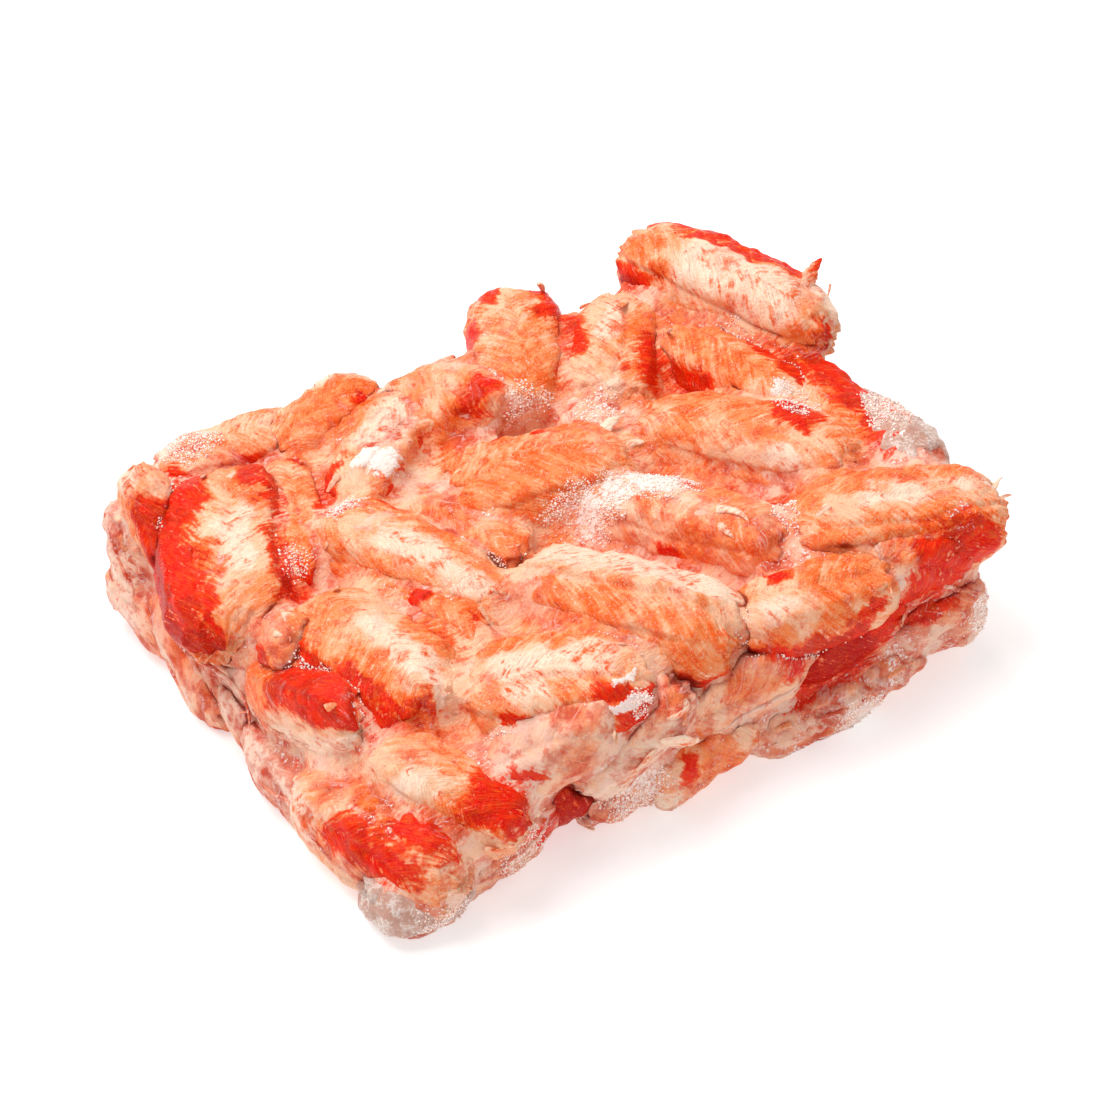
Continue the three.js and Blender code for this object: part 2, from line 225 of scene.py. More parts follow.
# Drifts of rime: (piece, along it, degrees around it, radius, strength).
DRIFTS = (
    ("top_meat_10", 0.2, -112, 11, 1.0), ("top_meat_16", -0.4, 34, 11, 1.0),
    ("top_meat_13", 0.7, -26, 4.5, 1.0), ("top_meat_06", 0.72, -52, 4, 0.8),
    ("top_meat_16", -0.8, -20, 8, 0.7), ("top_meat_08", 0.3, 44, 8, 0.5),
    ("top_meat_01", -0.2, -70, 6, 0.5), ("top_meat_07", -0.9, 20, 7, 0.5),
    ("front_meat_11", 0.3, 20, 10, 0.7), ("front_meat_09", 0.2, 0, 10, 0.4),
    ("front_meat_07", 0.7, 0, 8, 0.6), ("front_meat_08", 0.2, -30, 10, 0.6),
    ("front_meat_12", 0.2, 30, 9, 0.3), ("right_meat_01", 0.0, 80, 10, 0.4),
    ("top_meat_21", -0.4, 10, 8, 0.5), ("top_meat_11", -0.95, -20, 8, 0.7),
    ("top_meat_04", -0.95, 30, 7, 0.6), ("top_meat_23", 0.2, 0, 9, 0.5),
    ("top_meat_05", 0.3, -110, 8, 0.5),
)
# Strips of flesh that stand out: (piece, along, degrees around, reach, width, thickness, bend,
# paleness, redness).
STRIPS = (
    ("top_meat_05", 0.62, 26, (6, 3, 4.6), 5.5, 2.0, (-1.2, 0, 0.6), 0.7, 1.0),
    ("top_meat_04", 0.96, 20, (5, 2, 1.5), 2.8, 1.3, (0, 0, 1), 1.0, 0.0),
    ("top_meat_04", 0.98, -10, (4, 0, 0.5), 3.4, 1.4, (0, 1, 0), 1.0, 0.0),
    ("top_meat_16", 0.2, -10, (4, -9, -1), 3.0, 1.5, (1.5, 0, 0.8), 1.1, 0.0),
    ("top_meat_16", 0.3, -30, (2, -7, -3), 2.4, 1.2, (-1, 0, 0.8), 1.1, 0.0),
    ("top_meat_10", 0.8, 30, (7, 2, 0), 4.5, 1.7, (0, 0, 1), 1.1, 0.0),
    ("top_meat_10", 0.9, 0, (6, -3, 0), 3.5, 1.7, (0, 0, 1), 1.1, 0.0),
    ("top_meat_12", -0.9, 30, (5, -5, 0), 4.5, 1.7, (0, 0, 1), 1.1, 0.0),
    ("front_meat_04", 0.6, 30, (0, -3, 8), 6.0, 1.4, (1, -1, 0), 1.1, 0.0),
    ("front_meat_04", 0.3, -8, (8, -2.5, -1), 9.0, 1.6, (0, -1, 1), 1.1, 0.0),
    ("front_meat_04", 0.1, -10, (-12, -3, -2), 4.5, 1.5, (0, -1, 1.5), 1.1, 0.0),
)
# Raised folds in the glaze, each from one place to another on the side of the block:
# (piece, along, degrees) twice.
FOLDS = (
    ("top_meat_01", -0.46, 95, "left_meat_09", -0.77, 36),
    ("left_meat_07", 0.29, 49, "left_meat_08", 0.71, -12),
    ("left_meat_09", -0.3, 0, "left_meat_02", -0.7, -20),
    ("left_meat_02", -0.7, 0, "left_meat_02", 0.9, -10),
    ("left_meat_08", -0.6, 44, "left_meat_08", 0.58, 55),
    ("left_meat_06", -0.6, 0, "left_meat_07", 0.3, 20),
    ("left_meat_03", -0.9, -20, "left_meat_03", 0.6, -50),
    ("front_meat_02", -0.7, 0, "front_meat_02", 0.8, 20),
    ("front_meat_09", -0.6, 10, "front_meat_09", 0.8, 10),
    ("front_meat_06", -0.8, 10, "front_meat_07", 0.8, 30),
    ("front_meat_01", -0.6, 0, "front_meat_01", 0.9, -10),
    ("front_meat_08", -0.8, 0, "front_meat_08", 0.8, 30),
)


# ---------------------------------------------------------------- noise and mesh arithmetic
def smoothstep(low, high, value):
    t = np.clip((value - low) / (high - low), 0, 1)
    return t * t * (3 - 2 * t)


def scatter_value(cells, seed):
    """A fixed random value from 0 to 1 for each row of whole numbers."""
    x, y, z = cells[..., 0], cells[..., 1], cells[..., 2]
    mixed = x * 73856093 ^ y * 19349663 ^ z * 83492791 ^ (seed * 2654435761)
    mixed = (mixed & 0xFFFFFFFF) * 2246822519 & 0xFFFFFFFF
    mixed = (mixed ^ (mixed >> 15)) * 3266489917 & 0xFFFFFFFF
    return (mixed ^ (mixed >> 13)) / 0xFFFFFFFF


def noise(points, size, seed):
    """Smooth noise from -1 to 1 with lumps of the given size."""
    scaled = points / size
    cell = np.floor(scaled).astype(np.int64)
    part = scaled - cell
    part = part * part * (3 - 2 * part)
    total = np.zeros(len(points))
    for corner in np.ndindex(2, 2, 2):
        weight = np.prod(np.where(corner, part, 1 - part), axis=1)
        total += weight * scatter_value(cell + np.array(corner), seed)
    return total * 2 - 1


def layered_noise(points, size, seed, layers=3):
    return sum(noise(points, size / 2**k, seed + k) / 2**k for k in range(layers))


def arrays_of(mesh, scale=1.0):
    """Points and faces of a Blender mesh whose faces all have as many corners."""
    points = np.empty(len(mesh.vertices) * 3, np.float32)
    mesh.vertices.foreach_get("co", points)
    corners = np.empty(len(mesh.loops), np.int32)
    mesh.loops.foreach_get("vertex_index", corners)
    return points.reshape(-1, 3).astype(float) * scale, corners.reshape(len(mesh.polygons), -1)


def mesh_from(name, points, faces):
    mesh = bpy.data.meshes.new(name)
    mesh.vertices.add(len(points))
    mesh.vertices.foreach_set("co", np.asarray(points, np.float32).ravel())
    mesh.loops.add(faces.size)
    mesh.loops.foreach_set("vertex_index", np.asarray(faces, np.int32).ravel())
    mesh.polygons.add(len(faces))
    mesh.polygons.foreach_set("loop_start", np.arange(len(faces), dtype=np.int32) * faces.shape[1])
    mesh.update(calc_edges=True)
    return mesh


def remeshed(points, faces, voxel):
    """The outer surface of closed shapes as even quads."""
    mesh = mesh_from("scratch", points, faces)
    holder = bpy.data.objects.new("scratch", mesh)
    bpy.context.scene.collection.objects.link(holder)
    modifier = holder.modifiers.new("even", "REMESH")
    modifier.mode = "VOXEL"
    modifier.voxel_size = voxel
    evaluated = holder.evaluated_get(bpy.context.evaluated_depsgraph_get())
    result = arrays_of(evaluated.to_mesh())
    evaluated.to_mesh_clear()
    bpy.data.objects.remove(holder)
    bpy.data.meshes.remove(mesh)
    return result


def neighbour_mean(values, faces):
    """For each point, the mean of its neighbours' values.
    Each edge of a closed mesh is met once each way."""
    start, end = faces.ravel(), np.roll(faces, -1, axis=1).ravel()
    size = len(values)
    count = np.maximum(np.bincount(start, minlength=size), 1)
    columns = values.reshape(size, -1).T
    sums = [np.bincount(start, weights=column[end], minlength=size) for column in columns]
    return (np.stack(sums, -1) / count[:, None]).reshape(values.shape)


def relaxed(points, faces, distance, voxel):
    """The mesh with its corners rounded over about the given distance."""
    rounds = max(1, round(2 * (distance / voxel) ** 2 / 0.8))
    for _ in range(rounds):
        points = points + 0.8 * (neighbour_mean(points, faces) - points)
    return points


def normals_of(points, faces):
    across = points[faces[:, 2]] - points[faces[:, 0]]
    along = points[faces[:, 3]] - points[faces[:, 1]]
    flat = np.cross(across, along)
    total = np.zeros_like(points)
    for axis in range(3):
        weights = np.repeat(flat[:, axis], faces.shape[1])
        total[:, axis] = np.bincount(faces.ravel(), weights=weights, minlength=len(points))
    return total / np.maximum(np.linalg.norm(total, axis=1, keepdims=True), 1e-9)


def local_axes(points, triangles, face):
    """Middle and axes of a solid: along its length, to the left, and out of the block."""
    a, b, c = (points[triangles[:, k]] for k in range(3))
    volume = np.einsum("ij,ij->i", a, np.cross(b, c)) / 6
    middle = (volume[:, None] * (a + b + c)).sum(0) / 4 / volume.sum()
    a, b, c = a - middle, b - middle, c - middle
    volume = np.einsum("ij,ij->i", a, np.cross(b, c)) / 6
    spread = sum(np.einsum("i,ij,ik->jk", volume, p, p) for p in (a + b + c, a, b, c))
    length_axis = np.linalg.eigh(spread)[1][:, -1]
    over_u, over_v, out = (np.array(v, float) for v in FACES[face])
    if length_axis @ (math.cos(LEADING) * over_u + math.sin(LEADING) * over_v) < 0:
        length_axis = -length_axis
    outward = out - (out @ length_axis) * length_axis
    outward /= np.linalg.norm(outward)
    return middle, np.array([length_axis, np.cross(outward, length_axis), outward])


def new_piece(name, points, faces, material, replaced, values=None):
    """A finished piece in the frame, with per-point values for its material."""
    mesh = mesh_from(name, points * MM, faces)
    mesh.shade_smooth()
    for key, value in (values or {}).items():
        kind, field = ("FLOAT", "value") if value.ndim == 1 else ("FLOAT_VECTOR", "vector")
        attribute = mesh.attributes.new(key, kind, "POINT")
        attribute.data.foreach_set(field, value.astype(np.float32).ravel())
    piece = bpy.data.objects.new(name, mesh)
    bpy.context.scene.collection.objects.link(piece)
    mesh.materials.append(material)
    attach(piece, "root")
    if replaced:
        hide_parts(replaced)
    return piece


# ---------------------------------------------------------------- materials
def linear(red, green, blue):
    """A colour as seen on a screen, as the shader wants it."""
    seen = (red, green, blue)
    return tuple(c / 12.92 if c <= 0.04045 else ((c + 0.055) / 1.055) ** 2.4 for c in seen) + (1.0,)


CREAM = linear(0.99, 0.87, 0.77)
PEACH = linear(0.98, 0.75, 0.60)
LIGHT_ORANGE = linear(0.97, 0.55, 0.32)
ORANGE = linear(0.96, 0.38, 0.10)
ORANGE_RED = linear(0.93, 0.18, 0.02)
RED = linear(0.88, 0.03, 0.0)
DEEP_RED = linear(0.70, 0.0, 0.0)
# Painted shade: the dark red-brown laid between the pieces and in the holes of the ice.
CREVICE_SHADE = linear(0.48, 0.06, 0.01)
MILKY = linear(0.86, 0.53, 0.45)
MILKY_RED = linear(0.76, 0.26, 0.20)
MILKY_WHITE = linear(0.92, 0.77, 0.70)
FROST = linear(0.99, 0.94, 0.91)
ICE_CLEAR = linear(0.90, 0.76, 0.69)
ICE_DARK = linear(0.78, 0.52, 0.44)
RIME_WHITE = linear(1.0, 0.97, 0.95)
RIME_PINK = linear(0.98, 0.86, 0.81)
RIME_GLOW = linear(1.0, 0.82, 0.76)


class Nodes:
    """A new material's nodes, with short calls for the arithmetic that its looks are made of."""
    def __init__(self, name):
        self.material = bpy.data.materials.new(name)
        self.material.use_nodes = True
        self.tree = self.material.node_tree
        self.tree.nodes.clear()

    def add(self, kind, inputs=None, **settings):
        node = self.tree.nodes.new(kind)
        for key, value in settings.items():
            setattr(node, key, value)
        for key, value in (inputs or {}).items():
            if isinstance(value, bpy.types.NodeSocket):
                self.tree.links.new(value, node.inputs[key])
            else:
                node.inputs[key].default_value = value
        return node

    def place(self):
        """The position on the piece, in metres."""
        return self.add("ShaderNodeTexCoord").outputs["Object"]

    def stored(self, name, socket="Fac"):
        """A value written at the points of the piece."""
        return self.add("ShaderNodeAttribute", attribute_name=name).outputs[socket]

    def calc(self, operation, a, b=0.0):
        return self.add("ShaderNodeMath", {0: a, 1: b}, operation=operation).outputs[0]

    def times(self, a, b):
        return self.calc("MULTIPLY", a, b)

    def total(self, *values):
        result = values[0]
        for value in values[1:]:
            result = self.calc("ADD", result, value)
        return result

    def one_less(self, value):
        return self.calc("SUBTRACT", 1.0, value)

    def centred(self, value, amount):
        """A value of 0 to 1, moved to lie around 0 and scaled."""
        return self.times(self.calc("SUBTRACT", value, 0.5), amount)

    def between(self, value, low, high):
        """0 below low, 1 above high, smooth in between."""
        inputs = {"Value": value, "From Min": low, "From Max": high}
        return self.add("ShaderNodeMapRange", inputs, interpolation_type="SMOOTHSTEP").outputs[0]

    def mix(self, share, a, b):
        """The first colour, with the second one's share of it."""
        inputs = {"Factor": share, 6: a, 7: b}
        return self.add("ShaderNodeMix", inputs, data_type="RGBA").outputs[2]

    def grain(self, place, size, detail, roughness=0.55):
        """Noise from 0 to 1 with lumps of the given size in millimetres, over coordinates in metres."""
        inputs = {"Vector": place, "Scale": 1 / (size * MM), "Detail": detail, "Roughness": roughness}
        return self.add("ShaderNodeTexNoise", inputs).outputs["Fac"]

    def stretched_grain(self, place, scale, detail, roughness=0.55):
        """Noise over coordinates that are first scaled by a different amount each way."""
        inputs = {0: place, 1: scale}
        scaled = self.add("ShaderNodeVectorMath", inputs, operation="MULTIPLY").outputs[0]
        return self.grain(scaled, 1.0, detail, roughness)

    def bump(self, height, strength, distance):
        inputs = {"Height": height, "Strength": strength, "Distance": distance}
        return self.add("ShaderNodeBump", inputs).outputs[0]

    def finished(self, inputs):
        """The material, with its surface set."""
        shader = self.add("ShaderNodeBsdfPrincipled", inputs)
        self.add("ShaderNodeOutputMaterial", {"Surface": shader.outputs[0]})
        return self.material


def meat_material():
    """Torn muscle: pale flesh with fine slanting fibres, stained orange and red in ragged patches,
    under ice."""
    n = Nodes("crab_meat")
    total, centred, times, between, mix = n.total, n.centred, n.times, n.between, n.mix
    place, fibre = n.place(), n.stored("fibre", "Vector")
    fine, middle, wide = n.grain(place, 0.8, 3), n.grain(place, 3.0, 2), n.grain(place, 10, 1)
    strands = n.stretched_grain(fibre, (0.00014, 0.0011, 0.001), 2, 0.6)
    hairs = n.stretched_grain(fibre, (0.0003, 0.0032, 0.001), 1, 0.6)
    bands = n.stretched_grain(fibre, (0.00007, 0.0004, 0.001), 2)
    specks = n.grain(place, 0.42, 1, 0.7)

    # The stored patches, with ragged or soft edges.
    jag = total(centred(middle, 1.5), centred(fine, 1.0), centred(strands, 1.5))
    soft = total(centred(middle, 1.2), centred(wide, 0.7), centred(strands, 1.2), centred(fine, 0.5))
    cream = between(total(n.stored("cream"), soft), 0.25, 1.0)
    orange = between(total(n.stored("orange"), soft), 0.2, 1.0)
    rust = between(total(n.stored("red"), soft), 0.0, 0.45)
    red = between(total(n.stored("red"), jag), 0.3, 0.78)
    deep = between(total(n.stored("deep"), jag), 0.35, 0.8)
    open_flesh = n.one_less(times(red, 0.95))

    # Flesh: peach to light orange, cream and orange patches, and a rusty edge around the red.
    peachy = between(total(wide, centred(bands, 1.0), centred(fine, 0.4)), 0.36, 0.68)
    flesh = mix(cream, mix(peachy, PEACH, LIGHT_ORANGE), CREAM)
    strong = between(total(middle, centred(bands, 1.1), centred(fine, 0.3)), 0.38, 0.7)
    flesh = mix(orange, flesh, mix(strong, LIGHT_ORANGE, ORANGE))
    flesh = mix(times(rust, 0.95), flesh, ORANGE)

    # Red skin, streaked along the fibres and darker in places.
    streaky = total(strands, centred(middle, 0.8), centred(hairs, 0.5), centred(fine, 0.4))
    skin = mix(between(streaky, 0.36, 0.62), RED, ORANGE_RED)
    skin = mix(between(streaky, 0.66, 0.9), skin, ORANGE)
    mottled = between(total(middle, centred(wide, 1.4), centred(bands, 0.8)), 0.5, 0.72)
    skin = mix(n.calc("MAXIMUM", times(deep, 0.85), times(mottled, 0.6)), skin, DEEP_RED)
    colour = mix(red, flesh, skin)

    # Fine hairs, flecks and pits.
    dark_hairs = between(total(hairs, centred(middle, 0.4)), 0.54, 0.74)
    colour = mix(times(dark_hairs, 0.3), colour, ORANGE)
    flecks = between(total(specks, centred(middle, 0.5)), 0.56, 0.74)
    colour = mix(times(flecks, times(open_flesh, 0.36)), colour, CREAM)
    pits = between(total(centred(specks, -1), centred(wide, 0.5)), 0.03, 0.2)
    colour = mix(times(pits, 0.3), colour, ORANGE)
    pale_hairs = between(total(centred(strands, -1), centred(fine, -0.7)), 0.1, 0.3)
    colour = mix(times(pale_hairs, times(open_flesh, 0.38)), colour, CREAM)

    # Milky glaze with thin pale lines painted as wet highlights on its folds, painted shade between the
    # pieces, and frost.
    milky = between(total(n.stored("glaze"), centred(middle, 0.9), centred(fine, 0.3)), 0.2, 1.0)
    milk = mix(between(total(wide, centred(middle, 0.7)), 0.54, 0.7), MILKY, MILKY_RED)
    pale = between(total(wide, centred(middle, 0.7), centred(fine, 0.4)), 0.53, 0.38)
    milk = mix(pale, milk, MILKY_WHITE)
    colour = mix(times(milky, times(open_flesh, 0.85)), colour, milk)
    # Thin pale lines over the glaze: painted wet highlights along its folds.
    winding = n.stretched_grain(fibre, (0.00005, 0.00022, 0.001), 2)
    fold_highlight_line = n.one_less(between(n.calc("ABSOLUTE", centred(winding, 1.0)), 0.0, 0.03))
    here = times(milky, between(total(wide, centred(fine, 1.0)), 0.45, 0.6))
    colour = mix(times(times(fold_highlight_line, here), 0.45), colour, FROST)
    # Painted shade: darker red-brown where other surface crowds in front, between the pieces and in the
    # holes.
    crevice = total(n.stored("crevice"), centred(fine, 0.3), centred(wide, 1.2))
    colour = mix(times(between(crevice, 0.15, 0.95), 0.8), colour, CREVICE_SHADE)
    frost = between(total(n.stored("frost"), centred(fine, 1.6), centred(middle, 0.5)), 0.5, 0.75)
    colour = mix(times(frost, 0.85), colour, FROST)

    # Fibres under a smoother film of ice, which evens them out where the glaze is thick.
    height = total(times(strands, 0.9), times(hairs, 0.35), times(fine, 0.7), times(specks, 0.35))
    height = times(height, n.one_less(times(n.stored("glaze"), 0.6)))
    rough = total(times(fine, 0.25), times(frost, 0.3), times(milky, -0.08), 0.28)
    return n.finished({
        "Base Color": colour, "Roughness": rough, "Normal": n.bump(height, 0.8, 0.0007),
        "Coat Normal": n.bump(total(middle, times(fine, 0.4)), 0.8, 0.0013), "Coat Weight": 0.35,
        "Coat Roughness": 0.1, "Coat IOR": ICE_IOR, "IOR": 1.35, "Specular IOR Level": 0.06})


def ice_material():
    """Cloudy ice with white rime, a little of the meat's colour showing through, and painted shade in the
    hollows of its bumps.
    """
    n = Nodes("clear_ice")
    place = n.place()
    fine, middle, wide = n.grain(place, 0.7, 5, 0.65), n.grain(place, 3.0, 4), n.grain(place, 9.0, 2)
    colour = n.mix(n.times(n.between(wide, 0.36, 0.6), 0.5), ICE_CLEAR, ICE_DARK)
    # Painted shade: darker where the bump is low, in its hollows.
    colour = n.mix(n.times(n.between(middle, 0.56, 0.44), 0.5), colour, ICE_DARK)
    rime = n.between(n.total(n.times(fine, 0.6), n.times(middle, 0.4)), 0.48, 0.62)
    colour = n.mix(n.times(rime, 0.8), colour, FROST)
    return n.finished({
        "Base Color": colour, "Roughness": n.total(0.18, n.times(rime, 0.4)),
        "Normal": n.bump(n.total(fine, middle), 0.8, 0.0009), "Coat Weight": 0.7,
        "Coat Roughness": 0.08, "Coat IOR": ICE_IOR, "IOR": ICE_IOR})


def rime_material():
    """White ice crystals, with a faint painted glow from a little emission."""
    n = Nodes("rime")
    place = n.place()
    colour = n.mix(n.between(n.grain(place, 1.5, 2), 0.35, 0.65), RIME_WHITE, RIME_PINK)
    return n.finished({
        "Base Color": colour, "Roughness": 0.45, "Normal": n.bump(n.grain(place, 0.3, 2), 0.5, 0.0002),
        # Painted glow:
        "IOR": ICE_IOR, "Emission Color": RIME_GLOW, "Emission Strength": 0.12})


def floor_material():
    return Nodes("white_table").finished({
        "Base Color": (FLOOR_GREY, FLOOR_GREY, FLOOR_GREY, 1), "Roughness": 0.8,
        "Emission Color": (1, 1, 1, 1), "Emission Strength": FLOOR_GLOW})


# ---------------------------------------------------------------- pieces of meat
def patch(values, low, high, soft):
    """1 from low to high and 0 outside, with soft edges."""
    above, past = smoothstep(low - soft, low + soft, values), smoothstep(high - soft, high + soft, values)
    return above * (1 - past)


def colour_values(name, index, points, along, degrees):
    """The patches of colour and the glaze on one piece, as amounts at each point."""
    seed = 11 * index
    values = {key: np.zeros(len(points)) for key in ("cream", "orange", "red", "deep")}
    bent = degrees + 12 * layered_noise(points, 6, seed + 2, 3)
    length = along + 0.12 * layered_noise(points, 6, seed + 3, 2)
    for kind, *angles, from_end, to_end in LOOKS.get(name, COMMON_LOOKS[index % len(COMMON_LOOKS)]):
        if kind == "white":
            continue
        ends = (from_end if from_end > -1 else -2), (to_end if to_end < 1 else 2)
        soft = 1.3 if kind in ("red", "deep") else 1.8
        round_edge, end_edge = min(11 * soft, 0.3 * np.ptp(angles)), min(0.13 * soft, 0.3 * np.ptp(ends))
        found = patch(bent, *angles, round_edge) * patch(length, *ends, end_edge)
        values[kind] = np.maximum(values[kind], found)
        if kind == "deep":
            values["red"] = np.maximum(values["red"], found)
        if kind != "cream":
            values["cream"] *= 1 - 0.7 * found
    values["orange"] = np.maximum(0.85 * values["orange"], 0.28 + 0.4 * noise(points, 8, seed + 6))
    values["cream"] = np.maximum(values["cream"], 0.1 + 0.35 * noise(points, 6, seed + 12))
    values["frost"] = 0.06 + 0.16 * noise(points, 14, seed + 9)
    values["frost"] += 0.16 * smoothstep(0.9, 1.0, np.abs(along))
    values["frost"] += FROSTY.get(name, 0.0) * (1 + noise(points, 5, seed + 13))
    glaze = GLAZE.get(name, GLAZE_OF_FACE[name.split("_")[0]])
    values["glaze"] = np.clip(glaze + 0.25 * layered_noise(points, 12, seed + 10, 2), 0, 1)
    return values


def shape_meat(name, index):
    """One piece of meat: the solid's form, rounded, with grooves, ledges, lumps and torn ends."""
    face, seed = name.split("_")[0], 11 * index
    solid, triangles = arrays_of(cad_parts[name].data, 1 / MM)
    middle, axes = local_axes(solid, triangles, face)
    points, faces = remeshed(solid, triangles, VOXEL)
    points = relaxed(points, faces, ROUNDING, VOXEL)
    local, solid_local = (points - middle) @ axes.T, (solid - middle) @ axes.T
    low, high = solid_local.min(0), solid_local.max(0)
    centre, spans = (local.max(0) + local.min(0)) / 2, np.ptp(local, axis=0)
    local = (local - centre) / spans * (high - low) * 0.99
    points = (local + (high + low) / 2) @ axes + middle
    half = (high - low) / 2
    along = local[:, 0] / half[0]
    angle = np.arctan2(local[:, 1] / half[1], local[:, 2] / half[2])
    reach = (half[1] + half[2]) / 2
    normals = normals_of(points, faces)

    # Long grooves part the muscle into strips; the fibres slant away from the main one on both sides.
    random = np.random.default_rng(seed + 5)
    first = random.uniform(-0.5, 0.2) if face == "top" else random.uniform(0.2, 1.0)
    wander = 0.16 * np.sin(2.6 * along + seed) + 0.1 * noise(points, 9, seed)
    lift = np.full(len(points), SWELL)
    for step, depth in ((0.0, 0.55), (0.85, 0.35), (-0.95, 0.4)):
        away = (angle - first - step - wander) * reach
        lift -= depth * np.exp(-((away / 0.8) ** 2)) * smoothstep(1.0, 0.5, np.abs(along))
    if name in LEDGES:
        around, from_end, to_end, height = LEDGES[name]
        away = (angle - math.radians(around) - 0.5 * wander) * reach
        there = height * patch(along, from_end, to_end, 0.12)
        lift += np.exp(-np.maximum(away, 0) / 4) * smoothstep(-0.5, 0.5, away) * there
        lift -= 0.6 * np.exp(-((away + 0.3) ** 2)) * there
    aside = np.abs((angle - first - wander) * reach)
    slant = random.uniform(0.5, 1.0)
    run = local[:, 0] * math.cos(slant) + aside * math.sin(slant)
    across = -local[:, 0] * math.sin(slant) + aside * math.cos(slant)
    fibres = np.stack([run / 8, across / 1.5, np.full(len(run), float(seed))], -1)
    lift += 0.7 * layered_noise(points, 9, seed + 1, 3) + 0.26 * noise(points, 1.9, seed + 4)
    lift += 0.2 * noise(fibres, 1, seed)
    rough = (0.15 + 2.2 * FROSTY.get(name, 0.0)) * (0.4 if face == "top" else 1)
    lift += rough * layered_noise(points, 3.2, seed + 30, 3)
    flaked = np.zeros(len(points))  # the white patches: raised flakes of frost
    for kind, from_angle, to_angle, from_end, to_end in LOOKS.get(name, ()):
        if kind == "white":
            bent = np.degrees(angle) + 12 * layered_noise(points, 4, seed + 20, 3)
            length = along + 0.14 * layered_noise(points, 4, seed + 21, 3)
            found = patch(bent, from_angle, to_angle, 5) * patch(length, from_end, to_end, 0.05)
            flaked = np.maximum(flaked, found)
    lift += flaked * (0.9 + 0.3 * noise(points, 1.6, seed + 22))
    points = points + normals * lift[:, None]

    # Torn ends: strands of different lengths.
    tips = np.stack([local[:, 1] / 2.1, local[:, 2] / 2.1, np.sign(local[:, 0]) * 3], -1)
    strands = noise(tips, 1, seed + 7) + 0.6 * noise(tips * 2, 1, seed + 8)
    torn = smoothstep(0.76, 0.98, np.abs(along)) * (1.5 * strands - 0.7)
    points = points + axes[0] * (np.sign(along) * torn)[:, None]
    points[:, 2] = np.maximum(points[:, 2], 0.1)

    degrees = np.degrees(angle)
    values = colour_values(name, index, points, along, degrees)
    values["frost"] = np.maximum(values["frost"], 0.95 * flaked)
    values["fibre"] = np.stack([run, across, np.full(len(run), 3.7 * index)], -1)
    return {"points": points, "faces": faces, "values": values, "along": along, "degrees": degrees}


class Haze:
    """Values spread over space: known at many points, and read as a local mean anywhere near them."""
    def __init__(self, points, columns, cell, spread):
        margin = 14
        self.cell, self.start = cell, points.min(0) - margin
        self.shape = np.ceil((points.max(0) + margin - self.start) / cell).astype(int) + 1
        index = np.ravel_multi_index(np.floor((points - self.start) / cell).astype(int).T, self.shape)
        size = int(np.prod(self.shape))
        layers = [np.bincount(index, weights=column, minlength=size) for column in (None, *columns)]
        layers = [layer.reshape(self.shape).astype(float) for layer in layers]
        self.layers = [self.spread_out(layer, spread) for layer in layers]

    @staticmethod
    def spread_out(layer, times):
        for _ in range(times):
            for axis in range(3):
                layer = (np.roll(layer, 1, axis) + 2 * layer + np.roll(layer, -1, axis)) / 4
        return layer

    def read(self, points):
        scaled = np.clip((points - self.start) / self.cell - 0.5, 0, self.shape - 2.001)
        corner = scaled.astype(int)
        part = scaled - corner
        totals = [np.zeros(len(points)) for _ in self.layers]
        for step in np.ndindex(2, 2, 2):
            weight = np.prod(np.where(step, part, 1 - part), axis=1)
            place = tuple((corner + step).T)
            for total, layer in zip(totals, self.layers):
                total += weight * layer[place]
        return totals


def spot(name, along, degrees):
    """The point of a finished piece at the given place on it, and the direction out of its surface."""
    shape = meats[name]
    turn = (shape["degrees"] - degrees + 180) % 360 - 180
    index = np.argmin((shape["along"] - along) ** 2 + (turn / 60) ** 2)
    return shape["points"][index], normals_of(shape["points"], shape["faces"])[index]


def drifted(points):
    """How thickly rime has settled around each point, from 0 to 1."""
    total = np.zeros(len(points))
    ragged = 2.5 * layered_noise(points, 4, 913, 2)
    for name, along, degrees, radius, strength in DRIFTS:
        away = np.linalg.norm(points - spot(name, along, degrees)[0], axis=1) + ragged
        total = np.maximum(total, strength * smoothstep(radius, 0.4 * radius, away))
    return total


def joined(shapes):
    points, faces, start = [], [], 0
    for shape_points, shape_faces in shapes:
        points.append(shape_points)
        faces.append(shape_faces + start)
        start += len(shape_points)
    return np.concatenate(points), np.concatenate(faces)


def lump(x, y, z, *half_sizes):
    """A smooth egg-shaped lump."""
    ball = bmesh.new()
    bmesh.ops.create_icosphere(ball, subdivisions=3, radius=1)
    ball.verts.index_update()
    points = np.array([v.co for v in ball.verts]) * half_sizes + (x, y, z)
    faces = np.array([[v.index for v in f.verts] for f in ball.faces])
    ball.free()
    return remeshed(points, faces, CORE_VOXEL)


def frozen_fill(shapes):
    """The core with the crevices of the block filled: everything swollen, joined, and drawn in again."""
    core = remeshed(*arrays_of(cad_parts["frozen_core"].data, 1 / MM), CORE_VOXEL)
    shapes = shapes + [core] + [lump(*pocket) for pocket in POCKETS]
    swollen = [(p + FILL_SWELL * normals_of(p, f), f) for p, f in shapes]
    points, faces = remeshed(*joined(swollen), FILL_VOXEL)
    points = relaxed(points, faces, 1.5, FILL_VOXEL)
    depth = FILL_DEPTH + 1.1 * layered_noise(points, 26, 921, 2) - 0.9 * drifted(points)
    points = points - (FILL_SWELL + depth)[:, None] * normals_of(points, faces)
    points = relaxed(points, faces, 1.2, FILL_VOXEL)
    rough = 0.4 * layered_noise(points, 3.5, 901, 3)
    points = points + normals_of(points, faces) * rough[:, None]
    points[:, 2] = np.where(points[:, 2] < 2.5, 0.0, points[:, 2])
    return points, faces


